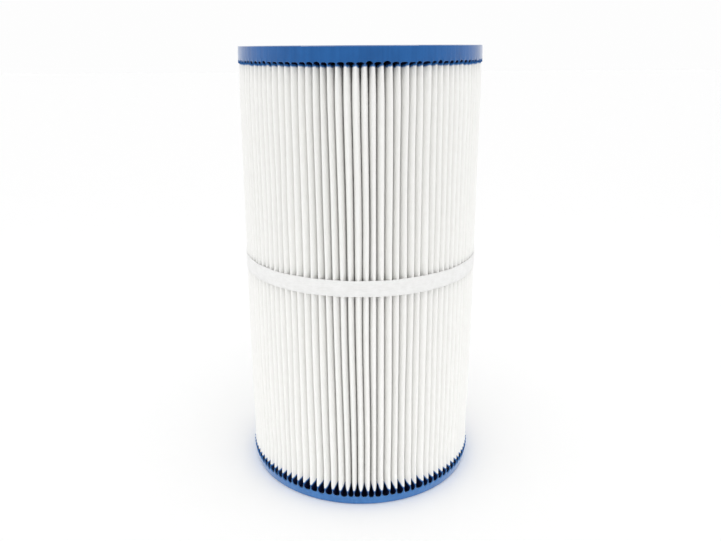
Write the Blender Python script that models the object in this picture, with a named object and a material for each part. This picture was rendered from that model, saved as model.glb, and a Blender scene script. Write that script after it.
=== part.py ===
"""Pleated filter cartridge for pools and spas, as an assembly of its separate pieces.

Units are metres and +Z is up. The origin is the centre of the bottom cap's flat face.
Two cast resin end caps hold the ends of a folded media sheet and of a perforated core
tube, and a narrow fabric band runs round the fold tips near mid-height.
"""

import math

import bmesh
import bpy

# Overall sizes
OVERALL_LENGTH = 0.235
CAP_DIAMETER = 0.1265
BORE_DIAMETER = 0.054

# Clearance between pieces that touch or nest
FIT_GAP = 0.0003

# End caps: a ring with a pocket that takes the ends of the media and of the core
CAP_HEIGHT = 0.007          # outer wall, from the flat face to its lip
CAP_BASE = 0.003            # resin between the flat face and the pocket
CAP_SKIN = 0.0003           # resin left outside the pocket at a fold tip
CAP_CHAMFER = 0.0008
BORE_LIP = 0.0015           # wall between the bore and the pocket
BORE_LIP_HEIGHT = 0.006
BORE_FACETS = 48

# Media sheet, folded into pleats
PLEAT_COUNT = 106
MEDIA_THICKNESS = 0.0005
TIP_HALF_ANGLE = math.radians(35.0)
TIP_GAP = 0.0012            # open gap between neighbours where pleats are widest
VALLEY_GAP = 0.0003         # open gap between the two sides of a valley, at its bottom

# Core tube
CORE_WALL = 0.002
CORE_RIB = 0.005            # width of the upright ribs between windows
CORE_HOOP = 0.0065          # height of the hoops between rows of windows
CORE_END_BAND = 0.014       # plain tube at each end
WINDOW_COLUMNS = 12
WINDOW_ROWS = 9
WINDOW_FACETS = 2

# Support band
BAND_WIDTH = 0.0082
BAND_THICKNESS = 0.0004
BAND_RISE = 0.0048          # band's middle above mid-height
BAND_FACETS = 72

# Faces that meet at more than this are shaded as an edge
SHARP_ANGLE = math.radians(25.0)

# Colours (linear)
CAP_BLUE = (0.021, 0.117, 0.337, 1.0)
MEDIA_WHITE = (0.86, 0.86, 0.84, 1.0)
CORE_WHITE = (0.75, 0.76, 0.76, 1.0)
BAND_WHITE = (0.90, 0.90, 0.89, 1.0)

# Places worked out from the sizes above
PITCH = math.tau / PLEAT_COUNT
END_INSET = CAP_BASE + FIT_GAP
BORE_RADIUS = BORE_DIAMETER / 2
CAP_RADIUS = CAP_DIAMETER / 2
LIP_RADIUS = BORE_RADIUS + BORE_LIP
BAND_HEIGHT = OVERALL_LENGTH / 2 + BAND_RISE


def polar(radius, angle, z):
    """Point at a radius and an angle round the axis."""
    return (radius * math.cos(angle), radius * math.sin(angle), z)


# Core tube's sizes: its flat facets clear the round lip inside it
CORE_FACET_COUNT = WINDOW_COLUMNS * (WINDOW_FACETS + 1)
SECTOR = math.tau / WINDOW_COLUMNS
RIB_ANGLE = CORE_RIB / (LIP_RADIUS + FIT_GAP)
WINDOW_ANGLE = (SECTOR - RIB_ANGLE) / WINDOW_FACETS
WIDEST_FACET = max(RIB_ANGLE, WINDOW_ANGLE)
CORE_INNER = (LIP_RADIUS + FIT_GAP) / math.cos(WIDEST_FACET / 2)
CORE_OUTER = CORE_INNER + CORE_WALL

# Media's middle line: fold tips, widest places and valley bottoms
TIP_MITRE = 1 / math.sin(TIP_HALF_ANGLE)
TIP_RADIUS = CAP_RADIUS - CAP_SKIN - (MEDIA_THICKNESS / 2 + FIT_GAP) * TIP_MITRE
TIP_WIDTH = PITCH * TIP_RADIUS - TIP_GAP - MEDIA_THICKNESS
SHOULDER_RADIUS = TIP_RADIUS - TIP_WIDTH / 2 / math.tan(TIP_HALF_ANGLE)
ROOT_RADIUS = CORE_OUTER + FIT_GAP + MEDIA_THICKNESS / 2
MEDIA_OUTER = TIP_RADIUS + MEDIA_THICKNESS / 2 * TIP_MITRE


def offset_outline(outline, distance):
    """Move a closed outline, listed anticlockwise, outwards with mitred corners."""
    moved = []
    for index, (x, y) in enumerate(outline):
        before = outline[index - 1]
        after = outline[(index + 1) % len(outline)]
        normals = []
        for start, end in ((before, (x, y)), ((x, y), after)):
            along_x, along_y = end[0] - start[0], end[1] - start[1]
            length = math.hypot(along_x, along_y)
            normals.append((along_y / length, -along_x / length))
        (ax, ay), (bx, by) = normals
        scale = distance / (1 + ax * bx + ay * by)
        moved.append((x + (ax + bx) * scale, y + (ay + by) * scale))
    return moved


def half_angle(radius, gap):
    """Half of a pleat's angle on its middle line, where a gap is open beside it."""
    return (PITCH * radius - gap - MEDIA_THICKNESS) / 2 / radius


def media_line():
    """Middle line of the folded sheet in plan, from a tip at angle 0, anticlockwise.

    Each pleat has five corners: its tip, its shoulder, the valley's two corners and the
    next pleat's shoulder.
    """
    shoulder = half_angle(SHOULDER_RADIUS, TIP_GAP)
    root = half_angle(ROOT_RADIUS, VALLEY_GAP)
    line = []
    for pleat in range(PLEAT_COUNT):
        centre = pleat * PITCH
        following = centre + PITCH
        corners = ((TIP_RADIUS, centre),
                   (SHOULDER_RADIUS, centre + shoulder),
                   (ROOT_RADIUS, centre + root),
                   (ROOT_RADIUS, following - root),
                   (SHOULDER_RADIUS, following - shoulder))
        line += [polar(radius, angle, 0.0)[:2] for radius, angle in corners]
    return line


def flute_outline():
    """Outline of the pocket's outer wall: it clears the tips and shoulders of the folds."""
    outline = offset_outline(media_line(), MEDIA_THICKNESS / 2 + FIT_GAP)
    corners_per_pleat = len(outline) // PLEAT_COUNT
    tip_and_shoulders = (0, 1, 4)
    return [point for index, point in enumerate(outline)
            if index % corners_per_pleat in tip_and_shoulders]


def add_ring(bm, outline, z):
    """Add a closed outline's points at a height."""
    return [bm.verts.new((x, y, z)) for x, y in outline]


def add_circle(bm, radius, count, z):
    """Add points spaced evenly round a circle, from angle 0."""
    return [bm.verts.new(polar(radius, math.tau * i / count, z)) for i in range(count)]


def skin(bm, ring_a, ring_b):
    """Join two rings that have the same number of points with four-sided faces."""
    for i in range(len(ring_a)):
        bm.faces.new((ring_a[i - 1], ring_a[i], ring_b[i], ring_b[i - 1]))


def turns(ring):
    """Angle of each point of a ring, and a full turn to close it."""
    angles = [round(math.atan2(vert.co.y, vert.co.x), 6) % math.tau for vert in ring]
    return angles + [math.tau]


def stitch(bm, ring_a, ring_b):
    """Fill the flat space between two rings whose numbers of points differ."""
    turn_a, turn_b = turns(ring_a), turns(ring_b)
    count_a, count_b = len(ring_a), len(ring_b)
    a = b = 0
    while a < count_a or b < count_b:
        here_a, here_b = ring_a[a % count_a], ring_b[b % count_b]
        if b == count_b or (a < count_a and turn_a[a + 1] <= turn_b[b + 1]):
            a += 1
            bm.faces.new((here_a, ring_a[a % count_a], here_b))
        else:
            b += 1
            bm.faces.new((here_a, ring_b[b % count_b], here_b))


def make_mesh(bm, name):
    """Turn a closed bmesh into a mesh with outward faces and smooth round walls."""
    bmesh.ops.recalc_face_normals(bm, faces=bm.faces)
    mesh = bpy.data.meshes.new(name)
    bm.to_mesh(mesh)
    bm.free()
    mesh.shade_smooth()
    mesh.set_sharp_from_angle(angle=SHARP_ANGLE)
    return mesh


def make_material(name, colour, roughness):
    material = bpy.data.materials.new(name)
    material.use_nodes = True
    shader = material.node_tree.nodes["Principled BSDF"]
    shader.inputs["Base Color"].default_value = colour
    shader.inputs["Roughness"].default_value = roughness
    shader.inputs["Metallic"].default_value = 0.0
    material.diffuse_color = colour
    return material


def place(name, mesh, material, parent, location=(0, 0, 0), rotation=(0, 0, 0)):
    """Put a mesh in the scene as one named piece of the assembly."""
    piece = bpy.data.objects.new(name, mesh)
    if not mesh.materials:
        mesh.materials.append(material)
    piece.location = location
    piece.rotation_euler = rotation
    piece.parent = parent
    bpy.context.collection.objects.link(piece)
    return piece


def end_cap_mesh():
    """Resin ring with its flat face down and its fluted pocket open upwards.

    The pocket's outer wall follows the pleats, so a finger of resin stands between each
    pair of fold tips.
    """
    bm = bmesh.new()
    flutes = flute_outline()
    bore_foot = add_circle(bm, BORE_RADIUS, BORE_FACETS, 0.0)
    bore_top = add_circle(bm, BORE_RADIUS, BORE_FACETS, BORE_LIP_HEIGHT)
    lip_top = add_circle(bm, LIP_RADIUS, BORE_FACETS, BORE_LIP_HEIGHT)
    lip_foot = add_circle(bm, LIP_RADIUS, BORE_FACETS, CAP_BASE)
    flute_foot = add_ring(bm, flutes, CAP_BASE)
    flute_top = add_ring(bm, flutes, CAP_HEIGHT)
    wall_top = add_circle(bm, CAP_RADIUS, PLEAT_COUNT, CAP_HEIGHT)
    wall_foot = add_circle(bm, CAP_RADIUS, PLEAT_COUNT, CAP_CHAMFER)
    face_edge = add_circle(bm, CAP_RADIUS - CAP_CHAMFER, PLEAT_COUNT, 0.0)

    skin(bm, bore_foot, bore_top)
    skin(bm, bore_top, lip_top)
    skin(bm, lip_top, lip_foot)
    stitch(bm, flute_foot, lip_foot)
    skin(bm, flute_foot, flute_top)
    stitch(bm, wall_top, flute_top)
    skin(bm, wall_top, wall_foot)
    skin(bm, wall_foot, face_edge)
    stitch(bm, face_edge, bore_foot)
    return make_mesh(bm, "end_cap")


def media_mesh():
    """The sheet, folded into a closed ring of pleats of even thickness."""
    bm = bmesh.new()
    line = media_line()
    outside = offset_outline(line, MEDIA_THICKNESS / 2)
    inside = offset_outline(line, -MEDIA_THICKNESS / 2)
    low, high = END_INSET, OVERALL_LENGTH - END_INSET
    rings = [add_ring(bm, outline, z) for outline, z in
             ((outside, low), (outside, high), (inside, high), (inside, low))]
    for i in range(len(rings)):
        skin(bm, rings[i - 1], rings[i])
    return make_mesh(bm, "pleated_media")


def core_stations():
    """Angles of the core's facets, with True where a facet belongs to a window."""
    stations = []
    for column in range(WINDOW_COLUMNS):
        start = column * SECTOR - RIB_ANGLE / 2
        stations.append((start, False))
        for facet in range(WINDOW_FACETS):
            stations.append((start + RIB_ANGLE + facet * WINDOW_ANGLE, True))
    return stations


def core_levels():
    """Heights where the core's bands, windows and hoops meet."""
    length = OVERALL_LENGTH - 2 * END_INSET
    free = length - 2 * CORE_END_BAND - (WINDOW_ROWS - 1) * CORE_HOOP
    window = free / WINDOW_ROWS
    levels = [END_INSET, END_INSET + CORE_END_BAND]
    for row in range(WINDOW_ROWS):
        if row:
            levels.append(levels[-1] + CORE_HOOP)
        levels.append(levels[-1] + window)
    levels.append(END_INSET + length)
    return levels


def core_mesh():
    """Tube wall on a grid of facets and levels, left out where a window is open."""
    bm = bmesh.new()
    stations, levels = core_stations(), core_levels()
    inner, outer = [], []
    for z in levels:
        inner.append([bm.verts.new(polar(CORE_INNER, angle, z)) for angle, _ in stations])
        outer.append([bm.verts.new(polar(CORE_OUTER, angle, z)) for angle, _ in stations])

    def is_open(column, level):
        return stations[column % CORE_FACET_COUNT][1] and level % 2 == 1

    def wall(corner_a, corner_b):
        """Face through the tube's wall, along the edge between two grid corners."""
        (k, i), (m, j) = corner_a, corner_b
        bm.faces.new((inner[k][i], inner[m][j], outer[m][j], outer[k][i]))

    for level in range(len(levels) - 1):
        for column in range(CORE_FACET_COUNT):
            right = (column + 1) % CORE_FACET_COUNT
            up = level + 1
            if is_open(column, level):
                wall((level, column), (level, right))
                wall((up, column), (up, right))
                if not is_open(column - 1, level):
                    wall((level, column), (up, column))
                if not is_open(column + 1, level):
                    wall((level, right), (up, right))
                continue
            for grid in (inner, outer):
                bm.faces.new((grid[level][column], grid[level][right],
                              grid[up][right], grid[up][column]))
    skin(bm, inner[0], outer[0])
    skin(bm, inner[-1], outer[-1])
    return make_mesh(bm, "center_core")


def band_mesh():
    """Fabric band as a thin ring that clears the fold tips."""
    bm = bmesh.new()
    spread = 1 / math.cos(math.pi / BAND_FACETS)
    inner = (MEDIA_OUTER + FIT_GAP) * spread
    outer = inner + BAND_THICKNESS
    low, high = BAND_HEIGHT - BAND_WIDTH / 2, BAND_HEIGHT + BAND_WIDTH / 2
    rings = [add_circle(bm, radius, BAND_FACETS, z) for radius, z in
             ((inner, low), (inner, high), (outer, high), (outer, low))]
    for i in range(len(rings)):
        skin(bm, rings[i - 1], rings[i])
    return make_mesh(bm, "support_band")


def clear_scene():
    for item in list(bpy.data.objects):
        bpy.data.objects.remove(item, do_unlink=True)


def main():
    clear_scene()
    assembly = bpy.data.objects.new("filter_cartridge", None)
    bpy.context.collection.objects.link(assembly)

    blue = make_material("cap_resin", CAP_BLUE, 0.38)
    cap = end_cap_mesh()
    place("bottom_end_cap", cap, blue, assembly)
    place("top_end_cap", cap, blue, assembly,
          location=(0, 0, OVERALL_LENGTH), rotation=(math.pi, 0, 0))

    media = make_material("media_fleece", MEDIA_WHITE, 0.85)
    place("pleated_media", media_mesh(), media, assembly)

    core = make_material("core_plastic", CORE_WHITE, 0.45)
    place("center_core", core_mesh(), core, assembly)

    band = make_material("band_fabric", BAND_WHITE, 0.9)
    place("support_band", band_mesh(), band, assembly)


main()
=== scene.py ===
import math
import random

import bmesh
import bpy
import numpy as np
from mathutils import Euler, Matrix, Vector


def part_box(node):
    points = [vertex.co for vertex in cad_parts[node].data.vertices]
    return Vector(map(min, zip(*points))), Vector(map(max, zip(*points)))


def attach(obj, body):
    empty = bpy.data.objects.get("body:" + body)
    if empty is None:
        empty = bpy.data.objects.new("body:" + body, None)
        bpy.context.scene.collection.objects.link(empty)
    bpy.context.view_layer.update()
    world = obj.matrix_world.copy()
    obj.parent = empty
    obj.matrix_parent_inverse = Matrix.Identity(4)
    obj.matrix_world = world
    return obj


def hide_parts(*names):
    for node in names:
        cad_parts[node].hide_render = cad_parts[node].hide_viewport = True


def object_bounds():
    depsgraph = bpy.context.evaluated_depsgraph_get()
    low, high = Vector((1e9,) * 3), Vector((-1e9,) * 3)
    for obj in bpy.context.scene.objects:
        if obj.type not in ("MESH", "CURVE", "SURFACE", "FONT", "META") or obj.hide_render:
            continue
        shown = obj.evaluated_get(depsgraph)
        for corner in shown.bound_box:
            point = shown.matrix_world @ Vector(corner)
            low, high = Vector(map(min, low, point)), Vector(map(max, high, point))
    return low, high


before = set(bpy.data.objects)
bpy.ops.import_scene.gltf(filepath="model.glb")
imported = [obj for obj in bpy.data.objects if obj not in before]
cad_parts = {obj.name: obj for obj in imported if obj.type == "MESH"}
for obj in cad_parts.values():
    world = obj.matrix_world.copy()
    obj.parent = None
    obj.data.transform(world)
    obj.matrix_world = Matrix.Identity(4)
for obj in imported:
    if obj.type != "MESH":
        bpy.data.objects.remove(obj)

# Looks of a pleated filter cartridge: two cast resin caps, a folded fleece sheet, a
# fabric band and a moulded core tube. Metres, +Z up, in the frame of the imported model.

CAD_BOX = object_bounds()
MM = 0.001
SEED = 11

# ---------------------------------------------------------------- sizes from the frame

LENGTH = CAD_BOX[1].z - CAD_BOX[0].z
CAP_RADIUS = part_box("top_end_cap")[1].x
CORE_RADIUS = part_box("center_core")[1].x
CORE_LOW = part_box("center_core")[0].z
CORE_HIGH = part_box("center_core")[1].z
MEDIA_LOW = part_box("pleated_media")[0].z
MEDIA_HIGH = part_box("pleated_media")[1].z
BAND_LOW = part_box("support_band")[0].z
BAND_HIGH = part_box("support_band")[1].z
BAND_MIDDLE = (BAND_LOW + BAND_HIGH) / 2

CORE_WALL = 2.0 * MM
CORE_BORE = CORE_RADIUS - CORE_WALL
BORE_RADIUS = CORE_BORE - 1.9 * MM   # of the hole through both caps

# Pleats
PLEATS = 106
PITCH = math.tau / PLEATS
FRONT = -math.pi / 2                 # the side that faces the camera
BACK = math.pi / 2
SHEET = 0.5 * MM                     # the fleece's thickness
TIP_INSET = 0.6 * MM                 # fold tips behind the wall of the caps

# Caps
EDGE = 0.4 * MM                      # rounding of the outer edge
FILL = 3.9 * MM                      # level of the resin in the pocket, from the flat face
PAINTED_PIT_SHADE = (0.002, 0.006, 0.030, 1)  # painted shade on the resin fill deep between the folds

# Brightness of the surroundings: level with the object, then higher up in front and behind
WORLD_HORIZON = 0.985
WORLD_FRONT = 0.50
WORLD_BACK = 0.95

# Each end: how much the cast wall widens towards the pleats, its height between two
# folds and at a fold, how far the resin has soaked up the fleece at a fold and how much
# further beside it, all from the cap's flat face, and the resin's two tones; the bottom
# cap's pair is lighter and the top cap's darker as painted light, the bottom lit by the
# floor and the top facing the camera in less light
BOTTOM = {"draft": 1.4 * MM, "gap": 4.5 * MM, "fold": 8.0 * MM,
          "soak": 7.9 * MM, "rise": 2.1 * MM,
          "tones_with_painted_light": ((0.040, 0.170, 0.450, 1), (0.060, 0.218, 0.540, 1))}
TOP = {"draft": 0.25 * MM, "gap": 6.7 * MM, "fold": 8.3 * MM,
       "soak": 8.3 * MM, "rise": 0.6 * MM,
       "tones_with_painted_light": ((0.002, 0.086, 0.300, 1), (0.008, 0.118, 0.385, 1))}


def smooth_step(low, high, value):
    """0 below low, 1 above high, and a smooth rise between."""
    share = np.clip((value - low) / (high - low), 0.0, 1.0)
    return share * share * (3 - 2 * share)


# ------------------------------------------------------------------------ mesh helpers

def lattice(name, points):
    """Closed mesh over a grid of points (rows, columns, 3) that wraps both ways."""
    rows, columns = points.shape[:2]
    index = np.arange(rows * columns).reshape(rows, columns)
    right = np.roll(index, -1, axis=1)
    up = np.roll(index, -1, axis=0)
    corner = np.roll(right, -1, axis=0)
    faces = np.stack([index, right, corner, up], axis=-1).reshape(-1, 4)
    mesh = bpy.data.meshes.new(name)
    mesh.from_pydata(points.reshape(-1, 3).tolist(), [], faces.tolist())
    mesh.update()
    return mesh


def add_piece(name, mesh, material, sharp=None):
    """Show a mesh as a piece of the object that rides on its only body."""
    piece = bpy.data.objects.new(name, mesh)
    bpy.context.scene.collection.objects.link(piece)
    mesh.materials.append(material)
    mesh.shade_smooth()
    if sharp:
        mesh.set_sharp_from_angle(angle=math.radians(sharp))
    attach(piece, "root")
    return piece


# -------------------------------------------------------------------- material helpers

class Nodes:
    """A material's node tree, with short calls to add and join nodes."""

    def __init__(self, name):
        self.material = bpy.data.materials.new(name)
        self.material.use_nodes = True
        self.tree = self.material.node_tree
        self.shader = self.tree.nodes["Principled BSDF"]

    def add(self, kind, **settings):
        node = self.tree.nodes.new(kind)
        for key, value in settings.items():
            setattr(node, key, value)
        return node

    def link(self, start, end):
        self.tree.links.new(start, end)

    def feed(self, socket, value):
        """Set a socket to a number or colour, or join it to another node's output."""
        if isinstance(value, bpy.types.NodeSocket):
            self.link(value, socket)
        else:
            socket.default_value = value

    def math(self, operation, a, b=0.0, c=0.0):
        node = self.add("ShaderNodeMath", operation=operation)
        for socket, value in zip(node.inputs, (a, b, c)):
            self.feed(socket, value)
        return node.outputs[0]

    def ramp(self, value, low, high, to_low=0.0, to_high=1.0, smooth=True):
        node = self.add("ShaderNodeMapRange")
        node.interpolation_type = "SMOOTHSTEP" if smooth else "LINEAR"
        for socket, amount in zip(node.inputs, (value, low, high, to_low, to_high)):
            self.feed(socket, amount)
        return node.outputs[0]

    def mix(self, factor, a, b, blend="MIX"):
        node = self.add("ShaderNodeMix", data_type="RGBA", blend_type=blend)
        self.feed(node.inputs["Factor"], factor)
        self.feed(node.inputs["A"], a)
        self.feed(node.inputs["B"], b)
        return node.outputs["Result"]

    def noise(self, vector, scale, detail=3.0, roughness=0.55):
        node = self.add("ShaderNodeTexNoise")
        self.link(vector, node.inputs["Vector"])
        node.inputs["Scale"].default_value = scale
        node.inputs["Detail"].default_value = detail
        node.inputs["Roughness"].default_value = roughness
        return node.outputs["Fac"]

    def scaled(self, vector, scale):
        node = self.add("ShaderNodeMapping")
        self.link(vector, node.inputs["Vector"])
        node.inputs["Scale"].default_value = scale
        return node.outputs["Vector"]

    def bump(self, height, distance, strength=1.0, below=None):
        node = self.add("ShaderNodeBump")
        node.inputs["Strength"].default_value = strength
        node.inputs["Distance"].default_value = distance
        self.link(height, node.inputs["Height"])
        if below is not None:
            self.link(below, node.inputs["Normal"])
        return node.outputs["Normal"]

    def place(self):
        """Object coordinates, and from them the height, radius and angle."""
        vector = self.add("ShaderNodeTexCoord").outputs["Object"]
        split = self.add("ShaderNodeSeparateXYZ")
        self.link(vector, split.inputs[0])
        x, y, z = split.outputs
        radius = self.math("SQRT", self.math("ADD", self.math("MULTIPLY", x, x),
                                             self.math("MULTIPLY", y, y)))
        angle = self.math("ARCTAN2", y, x)
        return vector, z, radius, angle

    def set(self, **values):
        for key, value in values.items():
            self.feed(self.shader.inputs[key.replace("_", " ")], value)


# --------------------------------------------------------------------------- materials

def resin_material(name, deep, pale):
    """Cast polyurethane: satin blue, faintly mottled, with upright mould marks, and near-black
    navy painted shade on the fill deep between the folds.
    """
    n = Nodes(name)
    vector, z, radius, _ = n.place()
    clouds = n.noise(vector, 70.0, 4.0)
    streaks = n.noise(n.scaled(vector, (420.0, 420.0, 12.0)), 1.0, 2.0)
    tone = n.math("ADD", n.math("MULTIPLY", clouds, 0.6), n.math("MULTIPLY", streaks, 0.4))
    body = n.mix(n.ramp(tone, 0.3, 0.7), deep, pale)
    near_face = n.math("MINIMUM", z, n.math("SUBTRACT", LENGTH, z))
    # painted shade: the resin fill deep between the folds, behind the wall and below the crown,
    # turns near-black navy
    pit_shade = n.math("MULTIPLY", n.ramp(near_face, 2.4 * MM, 3.0 * MM),
                 n.ramp(radius, CAP_RADIUS - 0.5 * MM, CAP_RADIUS - 1.1 * MM))
    pit_shade = n.math("MULTIPLY", pit_shade, n.ramp(radius, CORE_RADIUS, CORE_RADIUS + 1.0 * MM))
    n.set(Base_Color=n.mix(pit_shade, body, PAINTED_PIT_SHADE),
          Roughness=n.ramp(clouds, 0.3, 0.7, 0.30, 0.44))
    skin = n.bump(n.noise(vector, 900.0, 2.0), 0.04 * MM)
    n.set(Normal=n.bump(streaks, 0.10 * MM, below=skin))
    n.set(Specular_IOR_Level=0.30, Sheen_Weight=0.8, Sheen_Roughness=0.35)
    return n.material


def fleece_material():
    """Spun-bonded polyester, with blue resin soaked into it beside both caps, and painted shade
    that turns the soak near-black navy deep behind the folds.
    """
    n = Nodes("pleat_fleece")
    vector, z, radius, _ = n.place()
    low_half = n.math("LESS_THAN", z, LENGTH / 2)
    rim = n.math("MULTIPLY_ADD", low_half, BOTTOM["draft"] - TOP["draft"],
                 CAP_RADIUS + TOP["draft"])
    behind = n.math("SUBTRACT", rim, radius)
    beside = n.ramp(behind, 0.6 * MM, 3.9 * MM, smooth=False)
    ragged = n.math("SUBTRACT", n.noise(n.scaled(vector, (500.0, 500.0, 90.0)), 1.0), 0.5)
    ragged = n.math("MULTIPLY", ragged, 1.6 * MM)

    def soaked(distance, end):
        limit = n.math("MULTIPLY_ADD", beside, end["rise"], end["soak"])
        excess = n.math("SUBTRACT", n.math("ADD", distance, ragged), limit)
        return n.ramp(excess, 0.8 * MM, -1.2 * MM, smooth=False)

    low = soaked(z, BOTTOM)
    high = soaked(n.math("SUBTRACT", LENGTH, z), TOP)
    soak = n.math("MAXIMUM", low, high)
    mottle = n.noise(vector, 260.0, 5.0, 0.7)
    white = n.mix(n.ramp(mottle, 0.3, 0.7), (0.960, 0.958, 0.938, 1), (0.985, 0.983, 0.966, 1))
    # painted shade: behind the folds the soaked fleece darkens to near-black navy; close to the
    # fold it keeps the resin's blue stain
    shallow = n.ramp(behind, 0.95 * MM, 0.65 * MM)
    shaded_soak_colour = n.mix(shallow, (0.0035, 0.006, 0.030, 1), (0.035, 0.135, 0.38, 1))
    soak_colour_with_shade = n.mix(n.ramp(soak, 0.45, 0.85), (0.030, 0.170, 0.48, 1), shaded_soak_colour)
    n.set(Base_Color=n.mix(n.ramp(soak, 0.0, 0.45), white, soak_colour_with_shade),
          Roughness=n.ramp(soak, 0.0, 1.0, 0.92, 0.45))
    fibres = n.noise(n.scaled(vector, (2600.0, 2600.0, 1500.0)), 1.0, 4.0, 0.7)
    n.set(Normal=n.bump(fibres, 0.05 * MM, 0.6))
    n.set(Specular_IOR_Level=0.15)
    return n.material


def band_material():
    """Non-woven ribbon with short fibres laid mostly along it."""
    n = Nodes("band_ribbon")
    _, z, _, angle = n.place()
    around = n.add("ShaderNodeCombineXYZ")
    n.link(n.math("MULTIPLY", angle, CAP_RADIUS), around.inputs[0])
    n.link(z, around.inputs[1])
    flat = around.outputs[0]
    fibres = n.noise(n.scaled(flat, (260.0, 1900.0, 1.0)), 1.0, 4.0, 0.7)
    cloud = n.noise(flat, 240.0, 3.0)
    tone = n.math("ADD", n.math("MULTIPLY", fibres, 0.5), n.math("MULTIPLY", cloud, 0.5))
    n.set(Base_Color=n.mix(n.ramp(tone, 0.35, 0.65), (0.845, 0.845, 0.832, 1),
                           (0.92, 0.92, 0.912, 1)), Roughness=0.9)
    n.set(Normal=n.bump(fibres, 0.07 * MM, 0.8))
    n.set(Sheen_Weight=0.25, Sheen_Roughness=0.6, Specular_IOR_Level=0.2)
    return n.material


def core_material():
    """Moulded polypropylene, off-white, with a fine moulded grain."""
    n = Nodes("core_polypropylene")
    vector, _, _, _ = n.place()
    clouds = n.noise(vector, 60.0, 3.0)
    n.set(Base_Color=n.mix(clouds, (0.70, 0.71, 0.70, 1), (0.80, 0.81, 0.80, 1)),
          Roughness=n.ramp(clouds, 0.3, 0.7, 0.32, 0.46))
    n.set(Normal=n.bump(n.noise(vector, 700.0, 3.0), 0.05 * MM))
    n.set(Subsurface_Weight=0.1, Subsurface_Scale=2.0 * MM)
    return n.material


# ------------------------------------------------------------------------------ pleats

def turned_on(values):
    """Angles moved on by one place round the ring, the first a full turn further."""
    following = np.roll(values, -1)
    following[-1] += math.tau
    return following


def turned_back(values):
    """Angles moved back by one place round the ring, the last a full turn earlier."""
    previous = np.roll(values, 1)
    previous[0] -= math.tau
    return previous


def around_band(z, reach):
    """1 at the band's middle, falling to nothing some way above and below it."""
    return math.exp(-((z - BAND_MIDDLE) / reach) ** 2)


class PleatPack:
    """Angles and radii of the folds at any height, slightly uneven as made by hand."""

    spread = 0.05                    # folds stand wider apart at the front and back
    twist = math.radians(1.2)        # of the whole pack, from its top to its bottom
    lean = math.radians(2.6)         # of a few pleats left of the middle of the front
    lean_at = FRONT - math.radians(11)
    lean_width = math.radians(9)
    swell = 0.75 * MM                # of the folds, once they are clear of the caps
    belly = 0.60 * MM                # and how much further below the band
    drawn = 0.12 * MM                # by the band

    def __init__(self):
        rng = random.Random(SEED)
        self.base = np.array([
            k * PITCH + self.spread * math.sin(2 * (k * PITCH - FRONT)) / 2
            for k in range(PLEATS)])
        self.shift = np.array([rng.gauss(0, 0.055) for _ in range(PLEATS)]) * PITCH
        self.sway = np.array([rng.gauss(0, 0.05) for _ in range(PLEATS)]) * PITCH
        self.phase = np.array([rng.uniform(0, math.tau) for _ in range(PLEATS)])
        self.reach = np.array([rng.gauss(0, 0.07) for _ in range(PLEATS)]) * MM
        self.opening = np.array([rng.uniform(0.08, 0.44) for _ in range(PLEATS)]) * MM

    def folds(self, z):
        """Angle of each fold at a height."""
        fall = 0.5 - z / LENGTH
        away = (self.base - self.lean_at + math.pi) % math.tau - math.pi
        local = self.lean * np.exp(-(away / self.lean_width) ** 2)
        held = 1 - 0.6 * around_band(z, 16 * MM)
        wave = self.sway * held * np.sin(z / LENGTH * 2 * math.tau + self.phase)
        return self.base + self.shift + wave + fall * (self.twist + local)

    def valleys(self, z):
        """Angle of the valley after each fold: the core holds them more evenly."""
        fall = 0.5 - z / LENGTH
        return (self.base + turned_on(self.base)) / 2 + 0.4 * fall * self.twist

    def reach_at(self, z):
        """Radius of each fold at a height: held in by the caps and by the band."""
        from_end = min(z, LENGTH - z)
        end = BOTTOM if z < LENGTH / 2 else TOP
        flare = end["draft"] * float(smooth_step(0.0, 8 * MM, from_end))
        settle = self.swell - end["draft"]
        bulge = flare + settle * float(smooth_step(7 * MM, 24 * MM, from_end))
        bulge += self.belly * float(smooth_step(12 * MM, 40 * MM, z)
                                    * (1 - smooth_step(LENGTH * 0.35, LENGTH * 0.8, z)))
        drawn_in = around_band(z, 9 * MM)
        held = self.drawn * drawn_in
        free = float(smooth_step(8 * MM, 22 * MM, from_end))
        ripple = 0.05 * MM * np.sin(z / (21 * MM) + self.phase)
        uneven = free * (1 - drawn_in) * (self.reach + ripple)
        return CAP_RADIUS - TIP_INSET + bulge - held + uneven


PACK = PleatPack()

# Depth behind the fold in millimetres and share of the half-width, down a pleat's side
FLANK = ((0.10, 0.15), (0.45, 0.31), (1.6, 0.57), (3.2, 0.83), (5.2, 1.0))
DEEP = 0.45                          # share of the way from the last of these to the valley
LEAST_HALF = 0.8 * MM                # least half-width of a pleat
PINCH = 0.7 * MM                     # how much wider the gaps are beside the top cap
ROOT_GAP = 0.35 * MM                 # from the core to the valleys' bottoms
VALLEY_HALF = 0.2 * MM               # half the gap at a valley's bottom
TUCK = 0.6 * MM                      # from the outer face to the inner face at a fold


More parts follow.
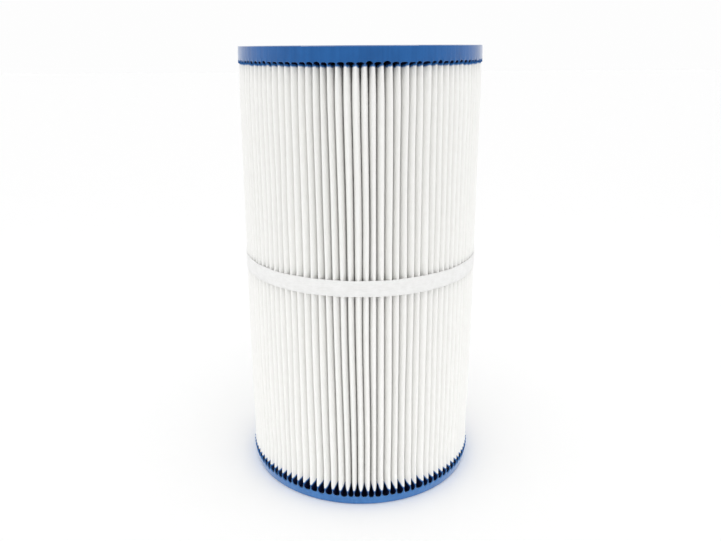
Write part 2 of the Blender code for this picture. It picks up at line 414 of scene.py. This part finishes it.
def sheet_ring(z, inside):
    """Points round one face of the sheet at a height, as (x, y, z)."""
    fold, valley, reach = PACK.folds(z), PACK.valleys(z), PACK.reach_at(z)
    root = CORE_RADIUS + ROOT_GAP + (0.0 if inside else SHEET)
    tuck = TUCK if inside else 0.0
    thin = SHEET if inside else 0.0
    pinch = PINCH * (1 - float(smooth_step(7 * MM, 24 * MM, LENGTH - z)))

    def side(sign, neighbour, opening, bottom):
        """Angles and radii down one side, from beside the fold to the valley."""
        half = abs(neighbour - fold) / 2 * reach - (opening + pinch) / 2
        half = np.maximum(half, LEAST_HALF) - thin
        points = []
        for depth, share in FLANK:
            radius = reach - tuck - depth * MM
            points.append((fold + sign * share * half / reach, radius))
        gap = (VALLEY_HALF + thin) / root
        foot = bottom - sign * gap
        angle, radius = points[-1]
        points.append((angle + (foot - angle) * DEEP, radius + (root - radius) * DEEP))
        points.append((foot, np.full(PLEATS, root)))
        return points

    left = side(-1, turned_back(fold), np.roll(PACK.opening, 1), turned_back(valley))
    right = side(1, turned_on(fold), PACK.opening, valley)
    columns = left[::-1] + [(fold, reach - tuck)] + right
    angles = np.stack([angle for angle, _ in columns], axis=1).ravel()
    radii = np.stack([radius for _, radius in columns], axis=1).ravel()
    height = np.full(len(angles), z)
    return np.stack([radii * np.cos(angles), radii * np.sin(angles), height], axis=1)


def make_pleats():
    """The whole folded sheet, as one closed surface of even thickness."""
    near = np.array([0.0, 3.0, 5.5, 8.0, 11.0, 15.0]) * MM   # rows beside each cap
    clear = 21 * MM                                          # where even rows start
    middle = np.linspace(MEDIA_LOW + clear, MEDIA_HIGH - clear, 17)
    levels = np.concatenate([MEDIA_LOW + near, middle, MEDIA_HIGH - near[::-1]])
    outer = [sheet_ring(z, inside=False) for z in levels]
    inner = [sheet_ring(z, inside=True) for z in levels]
    mesh = lattice("folded_sheet", np.array(outer + inner[::-1]))
    piece = add_piece("folded_sheet", mesh, fleece_material(), sharp=38)
    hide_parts("pleated_media")


# -------------------------------------------------------------------------------- caps

def arc(centre_r, centre_z, radius, start, end, count):
    """Points (radius, height) along an arc, angles in degrees."""
    return [(centre_r + radius * math.cos(math.radians(a)),
             centre_z + radius * math.sin(math.radians(a)))
            for a in np.linspace(start, end, count)]


def cap_profile():
    """Cap's section below its crown, from the resin fill round to the outer wall."""
    lip_top = 6.0 * MM
    lip_outer = CORE_BORE - 0.2 * MM
    points = [(CORE_RADIUS + 0.4 * MM, FILL), (lip_outer, FILL), (lip_outer, lip_top - 0.3 * MM)]
    points += [(lip_outer - 0.3 * MM, lip_top), (BORE_RADIUS + 0.5 * MM, lip_top)]
    points += [(BORE_RADIUS, lip_top - 0.5 * MM), (BORE_RADIUS, 3.0 * MM)]
    points += arc(BORE_RADIUS + 1.1 * MM, 1.1 * MM, 1.1 * MM, 180, 270, 6)
    bead = 0.6 * MM
    rim_in, rim_out = CAP_RADIUS - 4.2 * MM, CAP_RADIUS - 3.4 * MM
    ring_in, ring_out = BORE_RADIUS + 3.6 * MM, BORE_RADIUS + 4.4 * MM
    points += [(ring_in, 0.0), (ring_in + 0.25 * MM, 0.06 * MM), (ring_out, bead)]
    points += [(r, bead) for r in np.linspace(ring_out + 3 * MM, rim_in - 3 * MM, 5)]
    points += [(rim_in, bead), (rim_out - 0.25 * MM, 0.06 * MM), (rim_out, 0.0)]
    points += arc(CAP_RADIUS - EDGE, EDGE, EDGE, 270, 360, 6)
    return points


# Places between two folds where a cap's crown is drawn, closer beside the folds
CROWN_SHARES = np.array([0.0, 0.05, 0.11, 0.19, 0.31, 0.5, 0.69, 0.81, 0.89, 0.95])


def make_cap(name, node, end, top):
    """Cast ring whose wall climbs each fold and dips between folds."""
    level = 6.0 * MM
    fold = PACK.folds(LENGTH - level if top else level)
    gaps = turned_on(fold) - fold
    angles = (fold[:, None] + gaps[:, None] * CROWN_SHARES).ravel()
    rng = random.Random(SEED + (1 if top else 2))
    uneven = [rng.gauss(0, 0.16) for _ in range(PLEATS)]
    uneven = np.repeat(uneven, len(CROWN_SHARES)) * MM
    away = 1 - np.abs(2 * np.tile(CROWN_SHARES, PLEATS) - 1)
    cusp = 1 - np.sqrt(np.clip(1 - (1 - away) ** 2.5, 0, 1))
    crest = end["gap"] + uneven * away + (end["fold"] - end["gap"]) * cusp

    def level_row(radius, height):
        """A row at one radius and one height all round."""
        rows.append((np.full(len(angles), radius), np.full(len(angles), height)))

    def wall_row(inward, height):
        """A row on the wall, which widens towards the crown, or on the lip inside it."""
        drafted = CAP_RADIUS + end["draft"] * np.clip(height / end["fold"], 0, 1)
        rows.append((drafted - inward, height))

    rows = []
    for radius, height in cap_profile():
        level_row(radius, height)
    for share in (0.35, 0.7):
        wall_row(0.0, EDGE + (crest - EDGE - 0.35 * MM) * share)
    for inward, drop in ((0.0, 0.35), (0.08, 0.12), (0.24, 0.0), (0.42, 0.08), (0.56, 0.4)):
        wall_row(inward * MM, crest - drop * MM)
    wall_row(0.9 * MM, np.maximum(crest - 1.6 * MM, FILL))
    level_row(CAP_RADIUS - 2.0 * MM, FILL - 0.4 * MM)
    level_row(CAP_RADIUS - 6.0 * MM, FILL)
    radii = np.array([radius for radius, _ in rows])
    heights = np.array([height for _, height in rows])
    if top:
        heights = LENGTH - heights
    points = np.stack([radii * np.cos(angles), radii * np.sin(angles), heights], axis=-1)
    if top:
        points = points[:, ::-1]
    mesh = lattice(name, points)
    # the resin's tones for this end: the bottom cap's pair is lighter and the top cap's darker as
    # painted light
    piece = add_piece(name, mesh, resin_material(name + "_resin", *end["tones_with_painted_light"]), sharp=50)
    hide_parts(node)


# -------------------------------------------------------------------------------- band

def make_band():
    """Ribbon drawn tight round the folds, with its glued lap at the back."""
    count = PLEATS * 6
    thickness, bevel = 0.40 * MM, 0.12 * MM
    lap_length, lap_step, lap_start = 15 * MM, 0.7 * MM, 4 * MM
    angle = np.arange(count) / count * math.tau
    fold = PACK.folds(BAND_MIDDLE)
    nearest = np.abs((angle[:, None] - fold[None, :] + math.pi) % math.tau - math.pi).min(1)
    sag = 0.10 * MM * smooth_step(0.0, 1.0, nearest / (PITCH / 2))
    rng = random.Random(SEED + 5)

    def wavy(waves):
        """Slight wander of one edge up and down, as a sum of waves round the ring."""
        return sum(rng.uniform(0.03, 0.08) * MM * np.sin(k * angle + rng.uniform(0, 6))
                   for k in waves)

    inner = PACK.reach_at(BAND_MIDDLE)[0] - sag
    past = (angle - BACK) % math.tau * CAP_RADIUS
    lap = thickness * smooth_step(0, lap_start, past)
    lap = lap * (1 - smooth_step(lap_length, lap_length + lap_step, past))
    outer = inner + thickness + lap + 0.3 * sag
    edge_low = wavy((2, 3, 5, 9, 14, 23)) - 0.35 * lap
    edge_high = wavy((2, 3, 5, 8, 13, 21)) - 0.35 * lap
    middle = (edge_low + edge_high) / 2 + BAND_MIDDLE
    low, high = BAND_LOW + edge_low, BAND_HIGH + edge_high
    rows = [(inner, low), (inner, middle), (inner, high), (outer - bevel, high),
            (outer, high - bevel), (outer, (high + middle) / 2), (outer, middle),
            (outer, (low + middle) / 2), (outer, low + bevel), (outer - bevel, low)]
    points = np.stack([np.stack([r * np.cos(angle), r * np.sin(angle), z], axis=-1)
                       for r, z in rows[::-1]])
    piece = add_piece("band_ribbon", lattice("band_ribbon", points), band_material(), sharp=50)
    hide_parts("support_band")


# -------------------------------------------------------------------------------- core

def make_core():
    """Moulded tube with soft-cornered windows."""
    columns, rows = 12, 9
    rib, hoop, end_band = 5.0 * MM, 6.5 * MM, 14.0 * MM
    near = 0.9 * MM
    sector = math.tau / columns
    mean = CORE_RADIUS - CORE_WALL / 2

    stations = []
    for column in range(columns):
        centre = column * sector
        half_rib = rib / 2 / mean
        step = near / mean
        start, end = centre + half_rib, centre + sector - half_rib
        stations += [(centre - half_rib, False), (centre - half_rib + step, False),
                     (centre + half_rib - step, False), (start, True), (start + step, True),
                     ((start + end) / 2, True), (end - step, True)]
    window = (CORE_HIGH - CORE_LOW - 2 * end_band - (rows - 1) * hoop) / rows
    levels = [(CORE_LOW, False), (CORE_LOW + near, False), (CORE_LOW + end_band - near, False)]
    z = CORE_LOW + end_band
    for row in range(rows):
        levels += [(z, True), (z + near, True), (z + window / 2, True), (z + window - near, True)]
        z += window
        tail = hoop if row < rows - 1 else end_band
        levels += [(z, False), (z + near, False), (z + tail - near, False)]
        z += tail
    levels.append((z, False))

    corners = [[(radius * math.cos(a), radius * math.sin(a), height)
                for height, _ in levels for a, _ in stations]
               for radius in (CORE_BORE, CORE_RADIUS)]
    count, total = len(stations), len(levels)
    offset = count * total

    def at(surface, level, station):
        return surface * offset + level * count + station % count

    def is_open(level, station):
        return levels[level][1] and stations[station % count][1]

    faces = []
    for level in range(total - 1):
        for s in range(count):
            low_in, low_out = at(0, level, s), at(1, level, s)
            next_in, next_out = at(0, level, s + 1), at(1, level, s + 1)
            up_in, up_out = at(0, level + 1, s), at(1, level + 1, s)
            far_in, far_out = at(0, level + 1, s + 1), at(1, level + 1, s + 1)
            if not is_open(level, s):
                faces += [(next_in, low_in, up_in, far_in), (low_out, next_out, far_out, up_out)]
                continue
            if not is_open(level - 1, s):
                faces.append((next_in, next_out, low_out, low_in))
            if not is_open(level + 1, s):
                faces.append((up_in, up_out, far_out, far_in))
            if not is_open(level, s - 1):
                faces.append((low_in, low_out, up_out, up_in))
            if not is_open(level, s + 1):
                faces.append((far_in, far_out, next_out, next_in))
    for s in range(count):
        faces.append((at(0, 0, s), at(0, 0, s + 1), at(1, 0, s + 1), at(1, 0, s)))
        last = total - 1
        faces.append((at(1, last, s), at(1, last, s + 1), at(0, last, s + 1), at(0, last, s)))

    mesh = bpy.data.meshes.new("core_tube")
    mesh.from_pydata(corners[0] + corners[1], [], faces)
    used = {corner for face in faces for corner in face}
    piece = add_piece("core_tube", mesh, core_material())
    remove_unused(mesh, used)
    soften = piece.modifiers.new("soften", "SUBSURF")
    soften.levels = soften.render_levels = 1
    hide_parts("center_core")


def remove_unused(mesh, used):
    """Drop the points inside open windows, which belong to no face."""
    bm = bmesh.new()
    bm.from_mesh(mesh)
    bm.verts.ensure_lookup_table()
    bmesh.ops.delete(bm, geom=[v for v in bm.verts if v.index not in used], context="VERTS")
    bmesh.ops.recalc_face_normals(bm, faces=bm.faces)
    bm.to_mesh(mesh)
    bm.free()
    mesh.shade_smooth()


# ------------------------------------------------------------- stage, lights and camera

def make_stage():
    """Pale floor, wide enough to reach the horizon."""
    reach = 6.0
    mesh = bpy.data.meshes.new("floor_paper")
    corners = [(-reach, -reach), (reach, -reach), (reach, reach), (-reach, reach)]
    mesh.from_pydata([(x, y, -0.2 * MM) for x, y in corners], [], [(0, 1, 2, 3)])
    floor = bpy.data.objects.new("floor_paper", mesh)
    bpy.context.scene.collection.objects.link(floor)
    n = Nodes("floor_paper")
    n.set(Base_Color=(0.99, 0.99, 0.99, 1), Roughness=0.9, Specular_IOR_Level=0.1)
    mesh.materials.append(n.material)
    mesh.shade_smooth()


def add_area(name, place, target, size, power):
    """Soft box aimed at a point, unseen by the camera itself."""
    light = bpy.data.lights.new(name, "AREA")
    light.shape = "RECTANGLE"
    light.size, light.size_y = size
    light.energy = power
    lamp = bpy.data.objects.new(name, light)
    lamp.location = place
    across, ahead, up = np.array(target) - np.array(place)
    yaw = math.atan2(across, ahead)
    pitch = math.atan2(up, math.hypot(across, ahead))
    lamp.rotation_euler = (math.pi / 2 + pitch, 0, -yaw)
    lamp.visible_camera = False
    bpy.context.scene.collection.objects.link(lamp)
    return light


def make_lights():
    """Soft boxes at both sides and low in front, a soft sun above and a pale world."""
    middle = (0, 0, LENGTH * 0.45)
    add_area("left_box", (-0.75, -0.05, 0.25), middle, (0.5, 0.7), 0.2)
    add_area("right_box", (0.75, -0.05, 0.25), middle, (0.5, 0.7), 0.2)
    low = add_area("low_box", (0.0, -0.62, 0.10), (0, 0, 0.0), (0.7, 0.1), 0.03)
    low.spread = math.radians(35)
    sun = bpy.data.lights.new("overhead", "SUN")
    sun.energy = 0.76
    sun.angle = math.radians(50)
    lamp = bpy.data.objects.new("overhead", sun)
    lamp.rotation_euler = (math.radians(14), 0, 0)
    bpy.context.scene.collection.objects.link(lamp)
    make_world()


def make_world():
    """Pale all round at the level of the object, and dimmer high up in front."""
    world = bpy.data.worlds.new("studio")
    world.use_nodes = True
    tree = world.node_tree
    direction = tree.nodes.new("ShaderNodeTexCoord").outputs["Generated"]
    split = tree.nodes.new("ShaderNodeSeparateXYZ")
    tree.links.new(direction, split.inputs[0])
    around = tree.nodes.new("ShaderNodeMapRange")
    around.inputs["From Min"].default_value = -1.0
    around.inputs["To Min"].default_value = WORLD_FRONT
    around.inputs["To Max"].default_value = WORLD_BACK
    tree.links.new(split.outputs["Y"], around.inputs["Value"])
    level = tree.nodes.new("ShaderNodeMapRange")
    level.interpolation_type = "SMOOTHSTEP"
    level.inputs["From Min"].default_value = 0.28
    level.inputs["From Max"].default_value = 0.55
    level.inputs["To Min"].default_value = WORLD_HORIZON
    tree.links.new(split.outputs["Z"], level.inputs["Value"])
    tree.links.new(around.outputs[0], level.inputs["To Max"])
    tree.links.new(level.outputs[0], tree.nodes["Background"].inputs["Strength"])
    tree.nodes["Background"].inputs["Color"].default_value = (1, 1, 1, 1)
    bpy.context.scene.world = world
    bpy.context.scene.view_settings.view_transform = "Standard"


def make_camera():
    """Camera just above the top cap's level, looking down on the cartridge."""
    data = bpy.data.cameras.new("camera")
    data.sensor_width = 36.0
    data.lens = 35.24
    data.shift_x, data.shift_y = 0.0150, -0.0118
    tilt, roll = math.radians(17.23), math.radians(-0.344)
    camera = bpy.data.objects.new("camera", data)
    camera.location = (-0.0060, -0.3864, LENGTH + 0.0012)
    level = Euler((math.pi / 2 - tilt, 0, 0)).to_matrix()
    camera.rotation_euler = (level @ Matrix.Rotation(roll, 3, "Z")).to_euler()
    bpy.context.scene.collection.objects.link(camera)
    bpy.context.scene.camera = camera


# --------------------------------------------------------------------------- the whole

make_camera()
make_stage()
make_lights()
make_cap("cast_bottom_cap", "bottom_end_cap", BOTTOM, top=False)
make_cap("cast_top_cap", "top_end_cap", TOP, top=True)
make_core()
make_band()
make_pleats()
